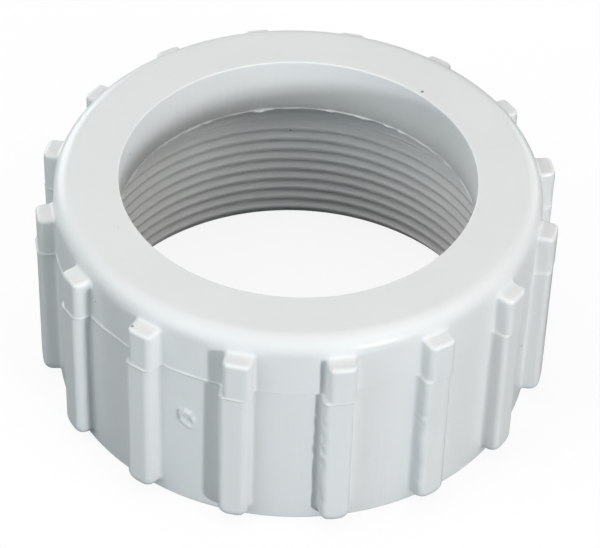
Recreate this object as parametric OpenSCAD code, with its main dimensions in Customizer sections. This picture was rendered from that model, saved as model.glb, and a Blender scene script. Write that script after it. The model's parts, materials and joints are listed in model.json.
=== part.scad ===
// Union nut: the ribbed plastic collar of a pipe union. One moulded piece. Millimetres.
// Origin: centre of the rim at the open, threaded end. +Z runs up the axis to the shouldered end.
// One grip rib is centred on +X.

/* [Body] */
// Height over both ends
nut_h = 48.3; // [46:0.1:56]
// Outside radius at the open rim
wall_r_rim = 49.5; // [48.5:0.05:50.5]
// Outside radius at the mould's parting line, the widest of the wall
wall_r_part = 49.75; // [49:0.05:51]
// Outside radius just below the rounded edge of the shouldered end
wall_r_top = 49.6; // [48.5:0.05:50.5]
// Rounding of the outer edge at the shouldered end
top_round = 3.6; // [2.5:0.1:4.5]
// Rounding of the outer edge at the open rim
rim_round = 0.4; // [0.2:0.1:0.8]

/* [Lip that holds the tailpiece] */
// Clear radius of the hole the tailpiece passes through
lip_r = 36.3; // [34:0.05:38.5]
// Height of the shoulder the tailpiece's flange bears on
shoulder_z = 35.05; // [33:0.05:36.5]
// Height where the lip's hole stops being straight and flares down to the shoulder
lip_flare_z = 40; // [38:0.1:43]
// How far the hole has flared outward by the time it reaches the shoulder
lip_flare = 0.8; // [0.2:0.1:1.5]
// Rounding of the hole's edge on the end face
lip_round = 0.5; // [0.2:0.1:1]

/* [Internal thread, right hand, one start] */
// Crest radius of the thread, its smallest
thread_r = 41.35; // [40.5:0.05:42]
// Pitch, nine threads to the inch
thread_pitch = 2.8222; // [2.2:0.0001:3]
// Height where full crests begin, above the plain mouth
thread_z0 = 2.8; // [2.4:0.1:6]
// Height where full crests end, below the plain relief
thread_z1 = 27.4; // [22:0.1:30]
// Height of the first crest's middle where the thread crosses +X
thread_phase = 2.55; // [0:0.01:2.82]
// Radius of the plain mouth at the open rim
mouth_r = 43.7; // [43.3:0.05:44.5]
// Radius of the plain relief between the thread and the shoulder
relief_r = 43.6; // [43.3:0.05:44.5]
// Height of the chamfer from the mouth up to the first crest
lead_in = 1; // [0.5:0.1:2]
// Height of the chamfer from the last crest up to the relief
lead_out = 1.6; // [0.5:0.1:2.5]
// Inside corner rounding between the relief and the shoulder
relief_round = 0.5; // [0.2:0.1:1]

/* [Grip ribs] */
// Number of ribs around the wall
rib_count = 16; // [8:1:20]
// Distance from the axis to a rib's outer face
rib_r = 53.2; // [52.2:0.1:56]
// Width of a rib above the parting line
rib_w = 5.7; // [4.5:0.1:7]
// Extra width of a rib below the parting line
rib_w_extra = 0.3; // [0:0.05:0.6]
// Sideways step of the ribs at the parting line, where the two mould halves don't line up
mould_step = 0.45; // [0:0.05:0.8]
// Height of the parting line
part_z = 35.4; // [30:0.1:40]
// Height of a rib's lower end
rib_z0 = 2.4; // [1:0.1:5]
// Height of a rib's top ledge where it meets the wall
rib_z1 = 44.9; // [42:0.1:46]
// Drop of the top ledge on its way out to the rib's face
rib_drop = 1; // [0.4:0.1:2]
// Rounding of a rib's two long edges
rib_edge = 1; // [0.4:0.1:1.6]
// Rounding of a rib's outer edge at the top ledge
rib_top_round = 0.7; // [0.3:0.1:1]
// Rounding of a rib's outer edge at its lower end
rib_foot_round = 2.2; // [0.5:0.1:2.6]

/* [Hidden] */
$fn = 144;
EDGE_FN = 32;                 // facets round a small edge rounding, in the preview only
CLEAR = 1;                    // how far a cutter runs on past the face it leaves by
ROOT_R = 47;                  // ribs are drawn from here, inside the wall, so they fuse with it

// unified 60 degree thread form: flats of a quarter pitch at the crest, an eighth at the root
CREST_FLAT = 1 / 4;
ROOT_FLAT = 1 / 8;
FLANK = tan(30);
thread_depth = thread_pitch * (1 - CREST_FLAT - ROOT_FLAT) / 2 / FLANK;
thread_root_r = thread_r + thread_depth;
GROOVE_SEG = 48;              // steps of the groove in one turn
GROOVE_IN = 0.4;              // how far the groove's cutter reaches inside the crests
// the groove's middle is half a pitch from a crest's middle, and it runs past both ends of the thread
groove_z0 = thread_phase - thread_pitch
    * ceil((thread_phase - thread_z0) / thread_pitch + 1.5);
groove_steps = ceil((thread_z1 + thread_pitch - groove_z0) / thread_pitch * GROOVE_SEG);
groove_rin = thread_r - GROOVE_IN;
groove_half_root = thread_pitch * ROOT_FLAT / 2;
groove_half_in = groove_half_root + (thread_root_r - groove_rin) * FLANK;

// slope of a rib's top ledge, and the centre of the rounding where it turns down the face
ledge_turn = atan(rib_drop / (rib_r - wall_r_part));
ledge_z = rib_z1 - rib_drop;
ledge_cx = rib_r - rib_top_round;
ledge_cz = ledge_z + rib_top_round * (tan(ledge_turn) - 1 / cos(ledge_turn));

PVC = [0.88, 0.88, 0.87];

// what lies between a square corner and a rounding of radius r whose centre is the origin
module corner_waste(r) {
    difference() {
        square(r + CLEAR);
        circle(r = r, $fn = EDGE_FN);
    }
}

// half section of the turned body: radius across, height up
module body_section() {
    difference() {
        polygon([
            [lip_r, lip_flare_z], [lip_r, nut_h], [wall_r_top, nut_h],
            [wall_r_top, nut_h - top_round], [wall_r_part, part_z],
            [wall_r_rim, rim_round], [wall_r_rim, 0], [mouth_r, 0],
            [mouth_r, thread_z0 - lead_in], [thread_r, thread_z0],
            [thread_r, thread_z1], [relief_r, thread_z1 + lead_out],
            [relief_r, shoulder_z], [lip_r + lip_flare, shoulder_z]
        ]);
        translate([wall_r_top - top_round, nut_h - top_round]) corner_waste(top_round);
        translate([lip_r + lip_round, nut_h - lip_round]) mirror([1, 0]) corner_waste(lip_round);
        translate([wall_r_rim - rim_round, rim_round]) mirror([0, 1]) corner_waste(rim_round);
    }
    // inside corner under the lip
    translate([relief_r - relief_round, shoulder_z - relief_round]) difference() {
        square(relief_round + CLEAR / 2);
        circle(r = relief_round, $fn = EDGE_FN);
    }
}

// the helical groove between the thread's crests, as the solid that cuts it
module thread_groove() {
    ring = [
        [groove_rin, -groove_half_in], [thread_root_r, -groove_half_root],
        [thread_root_r, groove_half_root], [groove_rin, groove_half_in]
    ];
    points = [for (i = [0:groove_steps], q = ring)
        let (a = i * 360 / GROOVE_SEG, z = groove_z0 + (i / GROOVE_SEG + 0.5) * thread_pitch)
        [q[0] * cos(a), q[0] * sin(a), z + q[1]]];
    last = 4 * groove_steps;
    sides = [for (i = [0:groove_steps - 1], k = [0:3])
        let (a = 4 * i + k, b = 4 * i + (k + 1) % 4)
        each [[a, b, a + 4], [b, b + 4, a + 4]]];
    ends = [[0, 2, 1], [0, 3, 2], [last, last + 1, last + 2], [last, last + 2, last + 3]];
    polyhedron(points = points, faces = concat(sides, ends));
}

// cross-section of a rib that points along +X
module rib_section(w) {
    translate([ROOT_R, -w / 2]) square([rib_r - rib_edge - ROOT_R, w]);
    translate([ROOT_R, rib_edge - w / 2]) square([rib_r - ROOT_R, w - 2 * rib_edge]);
    for (s = [-1, 1])
        translate([rib_r - rib_edge, s * (w / 2 - rib_edge)])
            circle(r = rib_edge, $fn = EDGE_FN);
}

// side view of a rib: sloping ledge at the top, rounded foot
module rib_profile() {
    difference() {
        polygon([
            [ROOT_R, rib_z0], [rib_r, rib_z0], [rib_r, ledge_z],
            [wall_r_part, rib_z1], [ROOT_R, rib_z1]
        ]);
        translate([rib_r - rib_foot_round, rib_z0 + rib_foot_round])
            mirror([0, 1]) corner_waste(rib_foot_round);
        translate([ledge_cx, ledge_cz]) difference() {
            polygon([
                [0, 0], [rib_top_round + CLEAR, 0], [rib_top_round + CLEAR, rib_top_round + CLEAR],
                (rib_top_round + CLEAR) * [sin(ledge_turn), cos(ledge_turn)]
            ]);
            circle(r = rib_top_round, $fn = EDGE_FN);
        }
    }
}

module rib() {
    intersection() {
        union() {
            translate([0, 0, part_z]) linear_extrude(height = nut_h - part_z) rib_section(rib_w);
            translate([0, -mould_step, 0])
                linear_extrude(height = part_z) rib_section(rib_w + rib_w_extra);
        }
        rotate([90, 0, 0])
            linear_extrude(height = 4 * rib_w, center = true) rib_profile();
    }
}

module union_nut() {
    color(PVC) union() {
        difference() {
            rotate_extrude() body_section();
            thread_groove();
        }
        for (i = [0:rib_count - 1]) rotate([0, 0, i * 360 / rib_count]) rib();
    }
}

union_nut();
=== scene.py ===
import json
import math

import bpy
import numpy as np
from mathutils import Matrix, Vector, noise


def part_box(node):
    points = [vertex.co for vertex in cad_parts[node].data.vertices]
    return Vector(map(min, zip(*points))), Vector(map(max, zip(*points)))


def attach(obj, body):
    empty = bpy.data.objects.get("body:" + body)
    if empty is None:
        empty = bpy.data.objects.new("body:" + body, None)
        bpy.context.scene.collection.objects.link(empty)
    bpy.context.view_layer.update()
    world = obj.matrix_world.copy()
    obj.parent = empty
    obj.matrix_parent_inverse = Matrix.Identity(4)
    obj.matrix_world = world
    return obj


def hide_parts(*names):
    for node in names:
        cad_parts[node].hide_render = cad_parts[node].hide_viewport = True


# Union nut, moulded in white PVC. Lengths are millimetres and angles are degrees, unless a comment
# says otherwise. The nut stands on its open rim, +Z up, with one grip rib on +X.

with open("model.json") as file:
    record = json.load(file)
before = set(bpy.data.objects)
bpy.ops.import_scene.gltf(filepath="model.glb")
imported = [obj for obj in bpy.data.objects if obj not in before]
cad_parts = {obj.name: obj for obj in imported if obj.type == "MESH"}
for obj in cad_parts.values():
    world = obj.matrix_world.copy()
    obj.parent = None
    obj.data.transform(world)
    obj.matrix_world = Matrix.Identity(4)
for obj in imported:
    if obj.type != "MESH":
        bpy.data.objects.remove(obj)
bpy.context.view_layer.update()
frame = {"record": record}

MM = 0.001
NODE = "union_nut"


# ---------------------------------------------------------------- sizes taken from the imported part

def mount(name):
    return next(m for m in frame["record"]["mounts"] if m["name"] == name)


box_low, box_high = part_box(NODE)
HEIGHT = (box_high.z - box_low.z) / MM
RIB_R = box_high.x / MM                              # axis to the middle of a rib's face
LIP_R = mount("tailpiece_bore")["dims"]["r_mm"]      # hole at the shouldered end
THREAD_R = mount("thread")["dims"]["r_mm"]           # crest of the internal thread
THREAD_LENGTH = mount("thread")["dims"]["length_mm"]
SHOULDER_Z = mount("shoulder_face")["pos_m"][2] / MM

# ---------------------------------------------------------------- sizes of the moulding

RIB_COUNT = 16
RIB_HEIGHT = 3.6                  # rib face above the wall
RIB_HALF = 2.78                   # half the width of a rib's face
RIB_DRAFT = 0.14                  # how much wider each side has grown at the wall
RIB_HALF_EXTRA = 0.13             # each side, below the parting line
RIB_FOOT_Z = 1.75                 # foot where it meets the wall
RIB_FOOT_RISE = 0.1               # foot from the wall out to the face
RIB_TOP_Z = 44.55                 # ledge where it meets the wall
RIB_LEDGE_DROP = 0.15             # ledge from the wall out to the face
SIDE_ROUND = 1.2                  # long edges of a rib
LEDGE_ROUND = 0.7                 # outer edge at the ledge
FOOT_ROUND = 2.2                  # outer edge at the foot
LEDGE_CORNER = 0.8                # creases between a rib's sides and its ledge
FOOT_CORNER = 2.2                 # creases between its sides and its foot
LEDGE_TIGHTEN = 0.4               # how much those creases tighten as the rounded sides draw in
FOOT_TIGHTEN = 0.9
ROOT_ROUND = 0.7                  # where a rib grows out of the wall
ROUGH_RIBS = (12, 13)             # ribs with a chattered side, below the parting line
CHATTER_FROM = 1.5                # height above the wall where the chatter is at its full size

WALL_R = RIB_R - RIB_HEIGHT       # wall just under the rounded top edge
WALL_R_PART = WALL_R + 0.15       # widest, at the parting line
WALL_R_RIM = WALL_R - 0.1         # at the open rim
TOP_ROUND = 3.6                   # outer edge at the shouldered end
RIM_ROUND = 0.4                   # outer edge at the open rim
LIP_ROUND = 0.3                   # inner edge at the shouldered end

PART_Z = 35.4                     # the mould's parting line
MOULD_TURN = -0.52                # the lower mould half sits turned this far
MOULD_SLIP = 0.12                 # and slid this far
SLIP_AZIMUTH = 169                # in this direction
FLASH = 0.22                      # tallest fin of flash on the parting line
FLASH_LEAST = 0.08                # share of it that is left where it is lowest
FLASH_AZIMUTH = SLIP_AZIMUTH + 25  # where it is tallest
FLASH_FALL = 5                    # how sharply it falls off from there, a power
FLASH_HALF = 0.06                 # half its thickness
FLASH_FOOT = 0.16                 # half the width of its foot

FLARE_Z = 40.0                    # below this the lip's hole flares
FLARE = 0.8                       # by this much in all
FLARE_SHARE = 0.75                # share of it reached where the lip's fin begins
FLARE_BEND = 1.4                  # how it curves, a power
FIN_RISE = 0.75                   # the lip's fin begins this far above the shoulder
LIP_FLASH = 0.42                  # ragged fin on the lip's lower edge
LIP_FLASH_MEAN = 0.55             # share of it that stands on average
LIP_FLASH_LEAST = 0.1             # and at least
# The fin's profile downward: outward from the flare's end, up from the shoulder, share of its length
FIN_PROFILE = (
    (0.02, 0.4, 0),
    (0, 0.2, 0.55),
    (0, 0.04, 1),
    (0, -0.08, 0.9),
    (0.1, -0.04, 0),
    (0.4, 0, 0),
)
SHOULDER_START = 2.5              # from the flare's end to the shoulder's first plain ring
RELIEF_R = 43.6                   # plain wall between the shoulder and the thread
RELIEF_ROUND = 0.5                # inside corner under the shoulder
MOUTH_R = 43.7                    # plain wall below the thread
# The mouth's profile downward: outward from its wall, and z. The last place is on the rim's face
MOUTH_PROFILE = ((0, 1.0), (0, 0.25), (0.08, 0.07), (0.25, 0), (2.8, 0))

PITCH = 25.4 / 9
THREAD_DEPTH = 0.54127 * PITCH    # unified 60 degree form
FLANK_START = 1 / 8               # shares of the pitch from a crest's middle
FLANK_END = 7 / 16
FLANK_EASE = 0.035                # how far the corners between flats and flanks are eased
THREAD_Z0 = 2.8                   # first full crests
THREAD_Z1 = THREAD_Z0 + THREAD_LENGTH
THREAD_PHASE = 2.65               # a crest's middle on +X
THREAD_BLEND = 0.12               # the corner between the thread and its end chamfers
LEAD_IN = 1.0                     # height of the chamfer below the full crests
LEAD_OUT = 1.4                    # how far above its end the thread has run out
RUN_OUT = 1.1                     # how far below its end the thread starts to grow shallower

GATE_AZIMUTH = 235.8              # scar where the moulding was snapped off its gate
GATE_Z = 23.3
GATE_WIDTH = 3.5
GATE_HEIGHT = 4.9
GATE_LEAN = 0.12                  # sideways for each millimetre up
GATE_END = 1.3                    # nothing of the scar lies beyond this share of its size
RING_AT = 0.78                    # where its ring stands, as a share of its size
RING_SPREAD = 0.2
RING_TALL = 0.5
TORN_EDGE = (0.4, 0.7)            # where the torn middle starts to fade and has faded, as shares too
TORN_TALL = 1.1
TORN_LEVEL = 0.12                 # share of TORN_TALL that its middle stands at on average

# Unevenness: how much, how coarse its grain is, and which slice of the noise it reads
FLASH_RAGGED = (0.9, 2.5, 1)
SCAR_OUTLINE = (0.22, 1.1, 2)
SCAR_MIDDLE = (0.6, 0.55, 3)
SCAR_RING = (1.3, 0.7, 4)
WALL_UNEVEN = (0.03, 14, 5)
CHATTER = (0.5, 1.2, 6)
LIP_RAGGED_COARSE = (1.4, 4.5, 7)
LIP_RAGGED_FINE = (1.0, 1.5, 8)
THREAD_UNEVEN = (0.015, 3, 9)
SLICE_GAP = 17.3                  # between two slices of the noise, in grains

# ---------------------------------------------------------------- density of the mesh

ACROSS = 10                       # steps across a rib
CORNER_STEPS = 3                  # of them, in half a rounded corner
ROOT_STEPS = 4                    # loops in the fillet at a rib's root
EDGE_STEPS = 7                    # loops in a rib's rounded edges
GAP_STEPS = 8                     # columns between two ribs
SCAR_STEPS = (3, 15, 5)           # before, across and after the scar, in the gap that holds it
SCAR_SIDE = 0.72                  # the close columns reach this share of the scar's width each way
SCAR_END = 0.62                   # and the close rows this share of its height
ROWS_TO_SCAR = 13
ROWS_AT_SCAR = 15
ROWS_TO_FLASH = 8
ROWS_OVER_FLASH = 5
ROW_CLEARANCE = 0.3               # from a rib's rounded ends to the rows that all its loops share
FLASH_CLEARANCE = 0.5             # from the flash's foot to the next row
PLAIN_TOP_Z = 0.7                 # highest row under the ribs' feet
OVER_LEDGE = 0.25                 # from a ledge to the first row above it
RIM_STEPS = 3
TOP_STEPS = 9
END_FACE_STEPS = 5
LIP_STEPS = 4
FLARE_STEPS = (0.35, 0.7, 1.0)    # shares of the flare's fall
RELIEF_STEPS = 3
SHOULDER_STEPS = 2
THREAD_ROWS = (0.07, 0.12, 0.165, 0.28, 0.4, 0.46)    # shares of the pitch, closest at the corners
THREAD_REACH = 0.8                # share of its end chamfers that the thread's rows run into
THREAD_GAP = 0.04                 # a row closer than this to the thread's end joins the ring there


# ---------------------------------------------------------------- small helpers

def wobble(azimuth, z, grain, seed):
    """Smooth random value, about -0.5 to 0.5, that closes up around the nut."""
    a = math.radians(azimuth)
    reach = WALL_R / grain
    height = z / grain + seed * SLICE_GAP
    return noise.noise(Vector((math.cos(a) * reach, math.sin(a) * reach, height)))


def uneven(kind, azimuth, z=0, shift=0):
    """Unevenness of one kind at a place. shift picks another slice of the same noise."""
    amount, grain, seed = kind
    return amount * wobble(azimuth, z, grain, seed + shift)


def ramp(x, low, high):
    """0 below low, 1 above high, smooth between."""
    t = min(1.0, max(0.0, (x - low) / (high - low)))
    return t * t * (3 - 2 * t)


def soft_max(a, b, blend):
    """The larger of two lengths, with the corner between them eased over blend."""
    return max(a, b) + max(blend - abs(a - b), 0.0) ** 2 / (4 * blend)


def arc_steps(count, start=0.0, end=90.0):
    """count + 1 angles in radians, from start to end in degrees."""
    return [math.radians(start + (end - start) * i / count) for i in range(count + 1)]


class Skin:
    """Points and faces of one closed surface."""

    def __init__(self):
        self.points = []
        self.faces = []

    def point(self, x, y, z):
        self.points.append((x * MM, y * MM, z * MM))
        return len(self.points) - 1

    def polar(self, r, azimuth, z):
        a = math.radians(azimuth)
        return self.point(r * math.cos(a), r * math.sin(a), z)

    def face(self, *ids):
        """Adds a face, leaving out a corner that repeats the one before it."""
        kept = [v for i, v in enumerate(ids) if v != ids[i - 1]]
        if len(kept) > 2 and len(set(kept)) == len(kept):
            self.faces.append(kept)

    def bridge(self, lower, upper, skip=()):
        """Quads between two rings of the same columns, except from the columns in skip."""
        n = len(lower)
        for c in range(n):
            if c not in skip:
                d = (c + 1) % n
                self.face(lower[c], lower[d], upper[d], upper[c])

    def object(self, name):
        mesh = bpy.data.meshes.new(name)
        mesh.from_pydata(self.points, [], self.faces)
        mesh.validate()
        mesh.shade_smooth()
        obj = bpy.data.objects.new(name, mesh)
        bpy.context.scene.collection.objects.link(obj)
        return obj


# ---------------------------------------------------------------- outer wall

def wall_radius(z):
    fillet_z = HEIGHT - TOP_ROUND
    if z < RIM_ROUND:
        return WALL_R_RIM - RIM_ROUND + math.sqrt(RIM_ROUND**2 - (RIM_ROUND - z) ** 2)
    if z < PART_Z:
        return WALL_R_RIM + (WALL_R_PART - WALL_R_RIM) * (z - RIM_ROUND) / (PART_Z - RIM_ROUND)
    if z < fillet_z:
        return WALL_R_PART + (WALL_R - WALL_R_PART) * (z - PART_Z) / (fillet_z - PART_Z)
    return WALL_R - TOP_ROUND + math.sqrt(max(TOP_ROUND**2 - (z - fillet_z) ** 2, 0))


def flash_height(azimuth):
    """Tallest near the side the lower half slid towards, ragged all round."""
    lean = 0.5 + 0.5 * math.cos(math.radians(azimuth - FLASH_AZIMUTH))
    share = FLASH_LEAST + (1 - FLASH_LEAST) * lean**FLASH_FALL
    return FLASH * share * (1 + uneven(FLASH_RAGGED, azimuth))


def flash_at(z, azimuth):
    """How far the flash stands out here. The margin keeps the fin's two edges at its full height."""
    off = abs(z - PART_Z)
    margin = 1.01
    return flash_height(azimuth) * (1 - ramp(off, FLASH_HALF * margin, FLASH_FOOT))


def gate_scar(azimuth, z):
    """Ragged ring with a torn middle."""
    up = z - GATE_Z
    side = math.radians(azimuth - GATE_AZIMUTH) * WALL_R + GATE_LEAN * up
    away = math.hypot(side / (GATE_WIDTH / 2), up / (GATE_HEIGHT / 2))
    if away > GATE_END:
        return 0.0
    away += uneven(SCAR_OUTLINE, azimuth, z)
    ring = math.exp(-(((away - RING_AT) / RING_SPREAD) ** 2)) * (1 + uneven(SCAR_RING, azimuth, z))
    torn = (1 - ramp(away, *TORN_EDGE)) * (TORN_LEVEL + uneven(SCAR_MIDDLE, azimuth, z))
    return max(0.0, RING_TALL * ring + TORN_TALL * torn)


def mould_place(x, y, z, azimuth):
    """Turns and slides a point of the outside that lies below the parting line, with its mould half."""
    share = 1.0 if z < PART_Z else 0.0
    a = math.radians(azimuth + MOULD_TURN * share)
    s = math.radians(SLIP_AZIMUTH)
    return (
        x * math.cos(a) - y * math.sin(a) + MOULD_SLIP * share * math.cos(s),
        x * math.sin(a) + y * math.cos(a) + MOULD_SLIP * share * math.sin(s),
        z,
    )


def wall_point(skin, azimuth, z):
    r = wall_radius(z) + flash_at(z, azimuth) + gate_scar(azimuth, z)
    r += uneven(WALL_UNEVEN, azimuth, z)
    return skin.point(*mould_place(r, 0, z, azimuth))


# ---------------------------------------------------------------- grip ribs

def edge_inset(h, radius):
    """How far a rounded outer edge has drawn in at height h above the wall."""
    rise = max(0.0, h - (RIB_HEIGHT - radius))
    return radius - math.sqrt(max(radius**2 - rise**2, 0.0))


def root_spread(h):
    """How far the fillet at a rib's root stands out at height h."""
    if h >= ROOT_ROUND:
        return 0.0
    return ROOT_ROUND - math.sqrt(ROOT_ROUND**2 - (ROOT_ROUND - h) ** 2)


def rib_heights():
    """Heights of the loops that climb a rib: the root fillet, then the rounded edges."""
    root = [ROOT_ROUND * (1 - math.cos(a)) for a in arc_steps(ROOT_STEPS)]
    edge = [RIB_HEIGHT - FOOT_ROUND * (1 - math.sin(a)) for a in arc_steps(EDGE_STEPS)]
    return root + edge


def rib_outline(h):
    """A rib's outline at height h above the wall: half its width, the z of its foot and of its ledge, and
    the radii of the corners at its foot and at its ledge."""
    share = h / RIB_HEIGHT
    spread = root_spread(h)
    drawn = edge_inset(h, SIDE_ROUND)
    half = RIB_HALF + RIB_DRAFT * (1 - share) + spread - drawn
    foot = RIB_FOOT_Z + RIB_FOOT_RISE * share - spread + edge_inset(h, FOOT_ROUND)
    ledge = RIB_TOP_Z - RIB_LEDGE_DROP * share + spread - edge_inset(h, LEDGE_ROUND)
    foot_corner = FOOT_CORNER + spread - FOOT_TIGHTEN * drawn
    ledge_corner = LEDGE_CORNER + spread - LEDGE_TIGHTEN * drawn
    return half, foot, ledge, foot_corner, ledge_corner


def corner_bends(radius):
    """(distance along an edge, distance it has drawn in) from a rounded corner's middle to its end."""
    return [
        (radius * (1 - math.cos(a)), radius * (1 - math.sin(a)))
        for a in arc_steps(CORNER_STEPS, 45, 90)
    ]


def rows_between_ends():
    """Heights of the rows that every loop of a rib shares, clear of its rounded ends."""
    low = RIB_FOOT_Z + FOOT_ROUND + FOOT_CORNER + ROW_CLEARANCE
    high = RIB_TOP_Z - RIB_LEDGE_DROP - LEDGE_ROUND - LEDGE_CORNER - ROW_CLEARANCE
    gate_low = GATE_Z - SCAR_END * GATE_HEIGHT
    gate_high = GATE_Z + SCAR_END * GATE_HEIGHT
    part_low = PART_Z - FLASH_FOOT - FLASH_CLEARANCE
    part_high = PART_Z + FLASH_FOOT + FLASH_CLEARANCE
    rows = list(np.linspace(low, gate_low, ROWS_TO_SCAR))
    rows += list(np.linspace(gate_low, gate_high, ROWS_AT_SCAR))[1:]
    rows += list(np.linspace(gate_high, part_low, ROWS_TO_FLASH))[1:]
    rows += [PART_Z + off for off in (-FLASH_FOOT, -FLASH_HALF, FLASH_HALF, FLASH_FOOT)]
    rows += list(np.linspace(part_high, high, ROWS_OVER_FLASH))
    return rows


SHARED_ROWS = rows_between_ends()


def side_rows(h):
    """(z, how far the side has drawn in for the rounded corner) up one side of the loop at height h."""
    _, foot, ledge, foot_corner, ledge_corner = rib_outline(h)
    lower = [(foot + along, short) for along, short in corner_bends(foot_corner)]
    upper = [(ledge - along, short) for along, short in corner_bends(ledge_corner)[::-1]]
    rise = [((lower[-1][0] + SHARED_ROWS[0]) / 2, 0.0)]
    top = [((upper[0][0] + SHARED_ROWS[-1]) / 2, 0.0)]
    return lower + rise + [(z, 0.0) for z in SHARED_ROWS] + top + upper


def end_columns(half, radius):
    """(t, how far the end has drawn in for the rounded corner) across a loop's end, left to right."""
    left = [(along - half, short) for along, short in corner_bends(radius)]
    reach = half - radius
    inner = ACROSS - 2 * CORNER_STEPS
    middle = [(reach * (2 * i / inner - 1), 0.0) for i in range(1, inner)]
    return left + middle + [(-t, short) for t, short in left[::-1]]


def half_extra(z):
    return RIB_HALF_EXTRA if z < PART_Z else 0.0


def rib_azimuth(rib):
    return rib * 360 / RIB_COUNT


def side_lean(h):
    """How far the surface at height h on a rib's side faces sideways, 1, rather than outward, 0."""
    if h < ROOT_ROUND:
        return h / ROOT_ROUND
    rise = max(0.0, h - (RIB_HEIGHT - SIDE_ROUND)) / SIDE_ROUND
    return math.sqrt(max(1 - rise**2, 0.0))


def rib_point(skin, rib, t, z, h, side=0):
    """A point of a rib: t across it, z up it, h above the wall. side is -1 or 1 on its long sides."""
    azimuth = rib_azimuth(rib)
    flash = flash_at(z, azimuth) if side else flash_at(z, azimuth) * (h >= RIB_HEIGHT)
    lean = side_lean(h) if side else 0.0
    t += side * flash * lean
    if rib in ROUGH_RIBS and side == -1 and z < PART_Z:
        t += uneven(CHATTER, 0, z, shift=rib) * lean * ramp(h, 0, CHATTER_FROM)
    wall_x = math.sqrt(wall_radius(z) ** 2 - t**2)
    x = wall_x + (RIB_R - wall_x) * h / RIB_HEIGHT + flash * (1 - lean)
    return skin.point(*mould_place(x, t, z, azimuth))


def add_rib(skin, rib, base):
    """Builds a rib up from base, its outline's points in the wall, foot first and anticlockwise."""
    loop = base
    for h in rib_heights()[1:]:
        half, foot, ledge, foot_corner, ledge_corner = rib_outline(h)
        rows = side_rows(h)
        foot_row = [
            rib_point(skin, rib, t, foot + short, h)
            for t, short in end_columns(half + half_extra(foot), foot_corner)
        ]
        ledge_row = [
            rib_point(skin, rib, t, ledge - short, h)
            for t, short in end_columns(half + half_extra(ledge), ledge_corner)
        ]
        sides = {
            side: [
                rib_point(skin, rib, side * (half + half_extra(z) - drawn), z, h, side)
                for z, drawn in rows[1:-1]
            ]
            for side in (-1, 1)
        }
        above = foot_row + sides[1] + ledge_row[::-1] + sides[-1][::-1]
        skin.bridge(loop, above)
        loop = above
    add_rib_face(skin, rib, foot_row, ledge_row, sides, rows, half)


def add_rib_face(skin, rib, foot_row, ledge_row, sides, rows, half):
    """Closes a rib with the grid of its outer face, inside the last loop."""
    grid = [foot_row]
    for j, (z, drawn) in enumerate(rows[1:-1]):
        reach = half + half_extra(z) - drawn
        inner = [
            rib_point(skin, rib, reach * (2 * i / ACROSS - 1), z, RIB_HEIGHT)
            for i in range(1, ACROSS)
        ]
        grid.append([sides[-1][j]] + inner + [sides[1][j]])
    grid.append(ledge_row)
    for low, high in zip(grid, grid[1:]):
        for i in range(ACROSS):
            skin.face(low[i], low[i + 1], high[i + 1], high[i])


# ---------------------------------------------------------------- columns round the nut

def gap_shares(gap):
    """Where the columns in a gap between two ribs stand, as shares of the gap. They are closer at the
    scar."""
    edge = math.degrees((RIB_HALF + RIB_DRAFT + ROOT_ROUND) / WALL_R)
    start = rib_azimuth(gap) + edge
    end = rib_azimuth(gap + 1) - edge
    if not start < GATE_AZIMUTH < end:
        return [i / GAP_STEPS for i in range(1, GAP_STEPS)]
    before, across, after = SCAR_STEPS
    reach = math.degrees(SCAR_SIDE * GATE_WIDTH / WALL_R)
    low = (GATE_AZIMUTH - reach - start) / (end - start)
    high = (GATE_AZIMUTH + reach - start) / (end - start)
    return (
        [low * i / before for i in range(1, before)]
        + list(np.linspace(low, high, across))
        + [high + (1 - high) * i / after for i in range(1, after)]
    )


GAP_SHARES = [gap_shares(gap) for gap in range(RIB_COUNT)]


def column_azimuths(half, drawn, radius):
    """Azimuths of all columns at a height where the ribs' outline has this half-width."""
    azimuths = []
    for rib in range(RIB_COUNT):
        here = rib_azimuth(rib)
        across = [t for t, _ in end_columns(half, radius)]
        across[0] = drawn - half
        across[-1] = half - drawn
        azimuths += [here + math.degrees(t / WALL_R) for t in across]
        start = here + math.degrees((half - drawn) / WALL_R)
        end = rib_azimuth(rib + 1) - math.degrees((half - drawn) / WALL_R)
        azimuths += [start + (end - start) * share for share in GAP_SHARES[rib]]
    return azimuths


# A rib's outline where it meets the wall
BASE_HALF, BASE_FOOT, BASE_LEDGE, BASE_FOOT_CORNER, BASE_LEDGE_CORNER = rib_outline(0)
AZIMUTHS = column_azimuths(BASE_HALF, 0.0, BASE_FOOT_CORNER)
FIRST_COLUMNS = [0]               # each rib's first column
for shares in GAP_SHARES[:-1]:
    FIRST_COLUMNS.append(FIRST_COLUMNS[-1] + ACROSS + 1 + len(shares))
# Columns from which the step to the next one lies under a rib, and columns between a rib's sides
RIB_COLUMNS = {first + i for first in FIRST_COLUMNS for i in range(ACROSS)}
INSIDE_RIB = {first + i for first in FIRST_COLUMNS for i in range(1, ACROSS)}


# ---------------------------------------------------------------- the outside

def base_corner(z):
    return BASE_FOOT_CORNER if z < PART_Z else BASE_LEDGE_CORNER


def plain_row(skin, z):
    """A wall row at a height clear of the ribs."""
    azimuths = column_azimuths(BASE_HALF + half_extra(z), 0.0, base_corner(z))
    return [wall_point(skin, azimuth, z) for azimuth in azimuths]


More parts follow.
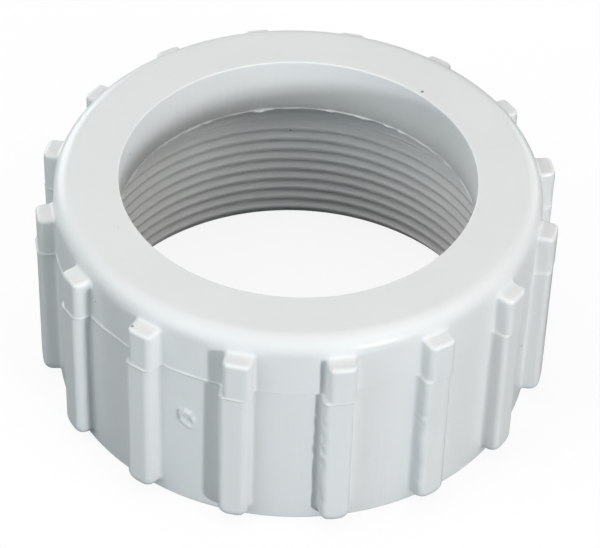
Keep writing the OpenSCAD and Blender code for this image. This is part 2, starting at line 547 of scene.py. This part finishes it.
def rib_row(skin, z, drawn, ends=None):
    """A wall row at a height where the ribs stand, with no points behind them. For the row at the ribs'
    feet or at their ledges, ends gives the z of each point across a rib."""
    azimuths = column_azimuths(BASE_HALF + half_extra(z), drawn, base_corner(z))
    row = []
    for column, azimuth in enumerate(azimuths):
        if column not in INSIDE_RIB:
            row.append(wall_point(skin, azimuth, z))
        elif ends:
            first = max(f for f in FIRST_COLUMNS if f <= column)
            row.append(wall_point(skin, azimuth, ends[column - first]))
        else:
            row.append(None)
    return row


def rows_under_ribs(skin):
    rounded = [RIM_ROUND * (1 - math.cos(a)) for a in arc_steps(RIM_STEPS)]
    return [plain_row(skin, z) for z in rounded + [PLAIN_TOP_Z]]


def rows_between_ribs(skin):
    foot_ends = [BASE_FOOT + short for _, short in end_columns(BASE_HALF, BASE_FOOT_CORNER)]
    ledge_ends = [BASE_LEDGE - short for _, short in end_columns(BASE_HALF, BASE_LEDGE_CORNER)]
    rows = side_rows(0)
    ends = [foot_ends] + [None] * (len(rows) - 2) + [ledge_ends]
    return [rib_row(skin, z, drawn, row_ends) for (z, drawn), row_ends in zip(rows, ends)]


def rows_over_ribs(skin):
    first_z = BASE_LEDGE + OVER_LEDGE
    start = math.degrees(math.asin((first_z - HEIGHT + TOP_ROUND) / TOP_ROUND))
    rounded = [HEIGHT - TOP_ROUND * (1 - math.sin(a)) for a in arc_steps(TOP_STEPS, start)]
    return [plain_row(skin, z) for z in rounded]


def rib_base(rows, column):
    """A rib's outline in the wall, foot first and anticlockwise. rows run from its foot to its ledge."""
    end = column + ACROSS
    right = [row[end] for row in rows[1:-1]]
    left = [row[column] for row in rows[-2:0:-1]]
    return rows[0][column : end + 1] + right + rows[-1][column : end + 1][::-1] + left


def outside(skin):
    """Wall, ribs and rounded top edge. Returns the lowest and the highest ring."""
    under = rows_under_ribs(skin)
    between = rows_between_ribs(skin)
    wall = under + between + rows_over_ribs(skin)
    first = len(under)
    last = first + len(between) - 1
    for i, (low, high) in enumerate(zip(wall, wall[1:])):
        skin.bridge(low, high, RIB_COLUMNS if first <= i < last else ())
    for rib, column in enumerate(FIRST_COLUMNS):
        add_rib(skin, rib, rib_base(between, column))
    return wall[0], wall[-1]


# ---------------------------------------------------------------- the inside

def lip_flash(azimuth):
    """Length of the ragged fin on the lip's lower edge."""
    ragged = uneven(LIP_RAGGED_COARSE, azimuth) + uneven(LIP_RAGGED_FINE, azimuth)
    return LIP_FLASH * max(LIP_FLASH_LEAST, LIP_FLASH_MEAN + ragged)


def lip_hole():
    """(r, z) round the end face's inner edge and down the lip's hole and its flare."""
    centre_r = LIP_R + LIP_ROUND
    centre_z = HEIGHT - LIP_ROUND
    path = [
        (centre_r - LIP_ROUND * math.sin(a), centre_z + LIP_ROUND * math.cos(a))
        for a in arc_steps(LIP_STEPS)
    ]
    path += [(LIP_R, z) for z in np.linspace(centre_z, FLARE_Z, LIP_STEPS + 1)[1:]]
    fall = FLARE_Z - SHOULDER_Z - FIN_RISE
    path += [
        (LIP_R + FLARE * FLARE_SHARE * share**FLARE_BEND, FLARE_Z - fall * share)
        for share in FLARE_STEPS
    ]
    return path


def shoulder():
    """(r, z) out along the shoulder, round its corner and down the relief to the thread."""
    corner = RELIEF_R - RELIEF_ROUND
    start = LIP_R + FLARE + SHOULDER_START
    path = [(r, SHOULDER_Z) for r in np.linspace(start, corner, SHOULDER_STEPS + 1)]
    path += [
        (corner + RELIEF_ROUND * math.sin(a), SHOULDER_Z - RELIEF_ROUND * (1 - math.cos(a)))
        for a in arc_steps(RELIEF_STEPS)[1:]
    ]
    down = np.linspace(SHOULDER_Z - RELIEF_ROUND, THREAD_Z1 + LEAD_OUT, LIP_STEPS + 1)[1:]
    return path + [(RELIEF_R, z) for z in down]


LIP_HOLE = lip_hole()
SHOULDER = shoulder()


def lip_path(azimuth):
    """(r, z) from the end face's inner edge down the lip and round under it to the thread."""
    edge = LIP_R + FLARE
    fin = lip_flash(azimuth)
    rim = [(edge + out - share * fin, SHOULDER_Z + up) for out, up, share in FIN_PROFILE]
    return LIP_HOLE + rim + SHOULDER


def mouth_path():
    """(r, z) from the thread down through the plain mouth to the rim's face."""
    start = [(MOUTH_R, THREAD_Z0 - LEAD_IN)]
    return start + [(MOUTH_R + out, z) for out, z in MOUTH_PROFILE]


# The thread's rows end where its chamfers are wider than it is
THREAD_TOP = THREAD_Z1 + THREAD_REACH * LEAD_OUT
THREAD_BOTTOM = THREAD_Z0 - THREAD_REACH * LEAD_IN


def chamfer_radius(z):
    """Radius of the cone that leads into the thread from the mouth, and of its run-out to the relief."""
    from_mouth = THREAD_R + (THREAD_Z0 - z) * (MOUTH_R - THREAD_R) / LEAD_IN
    run_out = ramp(z, THREAD_Z1 - RUN_OUT, THREAD_Z1 + LEAD_OUT)
    return max(from_mouth, THREAD_R + (RELIEF_R - THREAD_R) * run_out)


def thread_form(turn):
    """Radius of the thread at this share of a turn past a crest's middle, eased by averaging nearby."""
    reach = 3
    total = 0.0
    for i in range(-reach, reach + 1):
        away = abs((turn + FLANK_EASE * i / reach + 0.5) % 1 - 0.5)
        climb = (away - FLANK_START) / (FLANK_END - FLANK_START)
        total += min(1.0, max(0.0, climb))
    return THREAD_R + THREAD_DEPTH * total / (2 * reach + 1)


def thread(skin, top, bottom):
    """Joins ring top to ring bottom with the thread. Its rows follow the helix, so each turn runs on into
    the next, and a row that would leave the thread stops at the ring it meets."""
    shares = list(THREAD_ROWS) + [1 - share for share in THREAD_ROWS[::-1]]
    count = len(shares)
    columns = len(AZIMUTHS)
    made = {}
    first_turn = math.floor((THREAD_BOTTOM - THREAD_PHASE) / PITCH) - 2
    last_turn = math.ceil((THREAD_TOP - THREAD_PHASE) / PITCH) + 1

    def corner(column, row):
        wraps, at = divmod(column, columns)
        row += count * wraps
        azimuth = AZIMUTHS[at]
        z = THREAD_PHASE + PITCH * (azimuth / 360 + row // count + shares[row % count])
        if z < THREAD_BOTTOM + THREAD_GAP:
            return bottom[at]
        if z > THREAD_TOP - THREAD_GAP:
            return top[at]
        if (at, row) not in made:
            r = soft_max(thread_form(shares[row % count]), chamfer_radius(z), THREAD_BLEND)
            made[at, row] = skin.polar(r + uneven(THREAD_UNEVEN, azimuth, z), azimuth, z)
        return made[at, row]

    for column in range(columns):
        for row in range(first_turn * count, last_turn * count):
            skin.face(
                corner(column, row + 1),
                corner(column + 1, row + 1),
                corner(column + 1, row),
                corner(column, row),
            )


def next_ring(skin, ring, places):
    """Adds a ring with these (r, z) places, one to a column, and joins the last one to it."""
    new = [skin.polar(r, azimuth, z) for azimuth, (r, z) in zip(AZIMUTHS, places)]
    skin.bridge(ring, new)
    return new


def inside(skin, top_ring):
    """From the rounded top edge across the end face and down inside. Returns the lowest ring."""
    columns = len(AZIMUTHS)
    ring = top_ring
    for r in np.linspace(WALL_R - TOP_ROUND, LIP_R + LIP_ROUND, END_FACE_STEPS + 1)[1:-1]:
        ring = next_ring(skin, ring, [(r, HEIGHT)] * columns)
    paths = [lip_path(azimuth) for azimuth in AZIMUTHS]
    for places in zip(*paths):
        ring = next_ring(skin, ring, places)
    top = next_ring(skin, ring, [(chamfer_radius(THREAD_TOP), THREAD_TOP)] * columns)
    lead = chamfer_radius(THREAD_BOTTOM)
    bottom = [skin.polar(lead, azimuth, THREAD_BOTTOM) for azimuth in AZIMUTHS]
    thread(skin, top, bottom)
    ring = bottom
    for place in mouth_path():
        ring = next_ring(skin, ring, [place] * columns)
    return ring


def build_nut():
    skin = Skin()
    rim, top = outside(skin)
    skin.bridge(inside(skin, top), rim)
    return skin.object("moulded_nut")


# ---------------------------------------------------------------- moulded plastic

BODY_DARK = (0.74, 0.74, 0.735, 1)
BODY_LIGHT = (0.76, 0.76, 0.755, 1)
SPECK_COLOUR = (0.22, 0.21, 0.19, 1)
SPECKS_PER_METRE = 160
SPECK_SIZE = 0.075                # share of the space between specks
SPECK_CORE = 0.4                  # share of a speck that is at its full strength
SPECK_RARITY = 0.8                # share of the possible specks that are left out

NOISE_LOW = 0.3                   # nearly all of a noise pattern's values lie between these
NOISE_HIGH = 0.7
# Noise patterns: grains to the metre, detail
CLOUD = (45, 3)
POLISH = (120, 3)
SWELL = (60, 1)
GRAIN = (900, 2)
DRAG = (600, 2)
DRAG_STRETCH = (1, 1, 0.07)       # drag marks run up the wall
ROUGHNESS = (0.42, 0.52)
SWELL_TALL = 0.04
GRAIN_TALL = 0.004
DRAG_TALL = 0.02

PVC = {
    "IOR": 1.5,
    "Specular IOR Level": 0.15,
    "Coat Weight": 0.35,
    "Coat Roughness": 0.24,
    "Subsurface Weight": 0.25,
    "Subsurface Radius": (1.0, 0.95, 0.9),
    "Subsurface Scale": 1.2 * MM,
}

# A Mix node's colour sockets have numbers here, because their names are shared with its other types
MIX_FIRST = 6
MIX_SECOND = 7
MIX_RESULT = 2


def node(tree, kind, **inputs):
    """Adds a shader node and sets its inputs, named with underscores for spaces."""
    made = tree.nodes.new(kind)
    for name, value in inputs.items():
        made.inputs[name.replace("_", " ")].default_value = value
    return made


def noise_value(tree, place, pattern, low=0, high=1):
    """A noise pattern, stretched to run from low to high."""
    scale, detail = pattern
    cells = node(tree, "ShaderNodeTexNoise", Scale=scale, Detail=detail)
    tree.links.new(place, cells.inputs["Vector"])
    spread = node(
        tree, "ShaderNodeMapRange",
        From_Min=NOISE_LOW, From_Max=NOISE_HIGH, To_Min=low, To_Max=high,
    )
    tree.links.new(cells.outputs["Fac"], spread.inputs["Value"])
    return spread.outputs["Result"]


def blend_colour(tree, share, first, second):
    """Mixes two colours. Each is a plain colour or another node's output."""
    mix = tree.nodes.new("ShaderNodeMix")
    mix.data_type = "RGBA"
    tree.links.new(share, mix.inputs["Factor"])
    for number, value in ((MIX_FIRST, first), (MIX_SECOND, second)):
        if isinstance(value, tuple):
            mix.inputs[number].default_value = value
        else:
            tree.links.new(value, mix.inputs[number])
    return mix.outputs[MIX_RESULT]


def maths(tree, operation, first, second):
    """An operation on two values. The second may be a plain number."""
    made = tree.nodes.new("ShaderNodeMath")
    made.operation = operation
    tree.links.new(first, made.inputs[0])
    if isinstance(second, float):
        made.inputs[1].default_value = second
    else:
        tree.links.new(second, made.inputs[1])
    return made.outputs["Value"]


def specks(tree, place):
    """1 inside a few small flecks, 0 elsewhere."""
    cells = node(tree, "ShaderNodeTexVoronoi", Scale=SPECKS_PER_METRE)
    tree.links.new(place, cells.inputs["Vector"])
    near = node(
        tree, "ShaderNodeMapRange",
        From_Min=SPECK_SIZE, From_Max=SPECK_SIZE * SPECK_CORE, To_Min=0, To_Max=1,
    )
    tree.links.new(cells.outputs["Distance"], near.inputs["Value"])
    split = tree.nodes.new("ShaderNodeSeparateColor")
    tree.links.new(cells.outputs["Color"], split.inputs["Color"])
    rare = maths(tree, "GREATER_THAN", split.outputs["Red"], SPECK_RARITY)
    return maths(tree, "MULTIPLY", near.outputs["Result"], rare)


def bump(tree, pattern, place, tall, below=None):
    """Surface relief that is this many millimetres tall, on top of the relief below it."""
    made = node(tree, "ShaderNodeBump", Strength=1.0, Distance=tall * MM)
    tree.links.new(noise_value(tree, place, pattern), made.inputs["Height"])
    if below:
        tree.links.new(below, made.inputs["Normal"])
    return made.outputs["Normal"]


def colour_pvc(tree, place, surface):
    body = blend_colour(tree, noise_value(tree, place, CLOUD), BODY_DARK, BODY_LIGHT)
    colour = blend_colour(tree, specks(tree, place), body, SPECK_COLOUR)
    tree.links.new(colour, surface.inputs["Base Color"])


def texture_pvc(tree, place, surface):
    """Uneven polish, a swell and a fine grain over everything, and drag marks under the glossy skin."""
    tree.links.new(noise_value(tree, place, POLISH, *ROUGHNESS), surface.inputs["Roughness"])
    swell = bump(tree, SWELL, place, SWELL_TALL)
    grain = bump(tree, GRAIN, place, GRAIN_TALL, swell)
    tall = node(tree, "ShaderNodeMapping", Scale=DRAG_STRETCH)
    tree.links.new(place, tall.inputs["Vector"])
    drag = bump(tree, DRAG, tall.outputs["Vector"], DRAG_TALL, grain)
    tree.links.new(drag, surface.inputs["Normal"])
    tree.links.new(grain, surface.inputs["Coat Normal"])


def white_pvc():
    material = bpy.data.materials.new("white_pvc")
    material.use_nodes = True
    tree = material.node_tree
    place = tree.nodes.new("ShaderNodeTexCoord").outputs["Object"]
    surface = tree.nodes["Principled BSDF"]
    for name, value in PVC.items():
        surface.inputs[name].default_value = value
    colour_pvc(tree, place, surface)
    texture_pvc(tree, place, surface)
    return material


# ---------------------------------------------------------------- studio

VIEW_AZIMUTH = -10.9              # 0 looks along +Y
VIEW_ELEVATION = 42.6
VIEW_ROLL = 1.86                  # the picture leans this far clockwise
VIEW_DISTANCE = 588.3
VIEW_TARGET = (0.91, -0.18, 20.92)
LENS = 169.4
SENSOR = 36.0
CLIP_NEAR = 0.01                  # metres, as are all of the studio's sizes from here on
CLIP_FAR = 20

BACKDROP = (0.98, 0.98, 0.98, 1)
FLOOR_HALF = 3.0
FLOOR_COLOUR = (0.95, 0.95, 0.95, 1)
FLOOR_GLOW_SHARE = 0.88           # share of the floor's look that is its own white, to the camera only
FLOOR_BOUNCE = 0.12               # how much light the floor sends back up to the nut
WHITE = (1, 1, 1, 1)

# name, azimuth, elevation, distance, size, strength, colour
LIGHTS = (
    ("key", 23, 7.45, 0.9, 0.08, 1.73, (0.925, 0.965, 1.0)),
    ("high_left", -80, 45, 1.0, 0.9, 1.34, (0.98, 0.985, 0.955)),
    ("high_right", 47, 45, 1.0, 0.9, 1.26, (1.0, 0.985, 0.94)),
    ("overhead", 180, 80, 1.0, 0.9, 0.92, (1.0, 0.95, 0.94)),
    ("low_left", -58, 15, 1.0, 0.6, 0.85, (0.77, 0.92, 1.0)),
    ("low_right", 130, 15, 1.0, 0.6, 0.9, (0.88, 0.99, 1.0)),
    ("low_back", 205, 15, 1.0, 0.6, 1.44, (0.875, 0.95, 1.0)),
    ("front_fill", 0, 40, 1.0, 0.9, 0.28, (0.7, 0.9, 1.0)),
)


def toward(azimuth, elevation):
    """Unit vector from the nut towards a viewer at this azimuth and elevation."""
    a = math.radians(azimuth)
    e = math.radians(elevation)
    return Vector((math.sin(a) * math.cos(e), -math.cos(a) * math.cos(e), math.sin(e)))


def looking_back(back, roll=0.0):
    """Rotation of a camera or lamp that looks against the vector back."""
    turn = back.to_track_quat("Z", "Y").to_matrix() @ Matrix.Rotation(math.radians(roll), 3, "Z")
    return turn.to_4x4()


def add_camera():
    data = bpy.data.cameras.new("camera")
    data.lens = LENS
    data.sensor_width = SENSOR
    data.clip_start = CLIP_NEAR
    data.clip_end = CLIP_FAR
    camera = bpy.data.objects.new("camera", data)
    bpy.context.scene.collection.objects.link(camera)
    back = toward(VIEW_AZIMUTH, VIEW_ELEVATION)
    place = (Vector(VIEW_TARGET) + back * VIEW_DISTANCE) * MM
    camera.matrix_world = Matrix.Translation(place) @ looking_back(back, VIEW_ROLL)
    bpy.context.scene.camera = camera


def add_light(name, azimuth, elevation, distance, size, strength, colour):
    """A round soft light. Strength 1 lights a facing white surface to full white."""
    data = bpy.data.lights.new(name, "AREA")
    data.shape = "DISK"
    data.size = size
    data.color = colour
    data.energy = strength * math.pi * distance**2
    light = bpy.data.objects.new(name, data)
    bpy.context.scene.collection.objects.link(light)
    back = toward(azimuth, elevation)
    centre = Vector((0, 0, HEIGHT / 2 * MM))
    light.matrix_world = Matrix.Translation(centre + back * distance) @ looking_back(back)


def add_world():
    """White to the camera and dark to every other ray, so that all the light comes from the lamps."""
    world = bpy.data.worlds.new("studio")
    world.use_nodes = True
    tree = world.node_tree
    background = tree.nodes["Background"]
    background.inputs["Color"].default_value = BACKDROP
    path = tree.nodes.new("ShaderNodeLightPath")
    tree.links.new(path.outputs["Is Camera Ray"], background.inputs["Strength"])
    bpy.context.scene.world = world


def mix_shaders(tree, share, first, second):
    """Mixes two shader nodes. share is a plain number or another node's output."""
    mix = tree.nodes.new("ShaderNodeMixShader")
    if isinstance(share, float):
        mix.inputs[0].default_value = share
    else:
        tree.links.new(share, mix.inputs[0])
    tree.links.new(first.outputs[0], mix.inputs[1])
    tree.links.new(second.outputs[0], mix.inputs[2])
    return mix


def paper():
    """Near white to the camera, and darker to every other ray, like thin paper over a dark bench."""
    material = bpy.data.materials.new("paper")
    material.use_nodes = True
    tree = material.node_tree
    tree.nodes.remove(tree.nodes["Principled BSDF"])
    white = node(tree, "ShaderNodeBsdfDiffuse", Color=FLOOR_COLOUR)
    glow = node(tree, "ShaderNodeEmission", Color=WHITE, Strength=1.0)
    seen = mix_shaders(tree, FLOOR_GLOW_SHARE, white, glow)
    bench = node(tree, "ShaderNodeBsdfDiffuse", Color=(FLOOR_BOUNCE, FLOOR_BOUNCE, FLOOR_BOUNCE, 1))
    path = tree.nodes.new("ShaderNodeLightPath")
    both = mix_shaders(tree, path.outputs["Is Camera Ray"], bench, seen)
    tree.links.new(both.outputs[0], tree.nodes["Material Output"].inputs["Surface"])
    return material


def add_floor():
    corners = [(x * FLOOR_HALF, y * FLOOR_HALF, 0) for x, y in ((-1, -1), (1, -1), (1, 1), (-1, 1))]
    mesh = bpy.data.meshes.new("floor")
    mesh.from_pydata(corners, [], [(0, 1, 2, 3)])
    mesh.materials.append(paper())
    floor = bpy.data.objects.new("floor", mesh)
    bpy.context.scene.collection.objects.link(floor)


def add_studio():
    add_camera()
    add_world()
    add_floor()
    for light in LIGHTS:
        add_light(*light)
    bpy.context.scene.view_settings.view_transform = "Standard"


# ---------------------------------------------------------------- the scene

SHADING_WEIGHT = 60               # how strongly the large faces lead the shading of their corners

nut = build_nut()
nut.data.materials.append(white_pvc())
even_shading = nut.modifiers.new("even_shading", "WEIGHTED_NORMAL")
even_shading.weight = SHADING_WEIGHT
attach(nut, "root")
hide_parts(NODE)
add_studio()
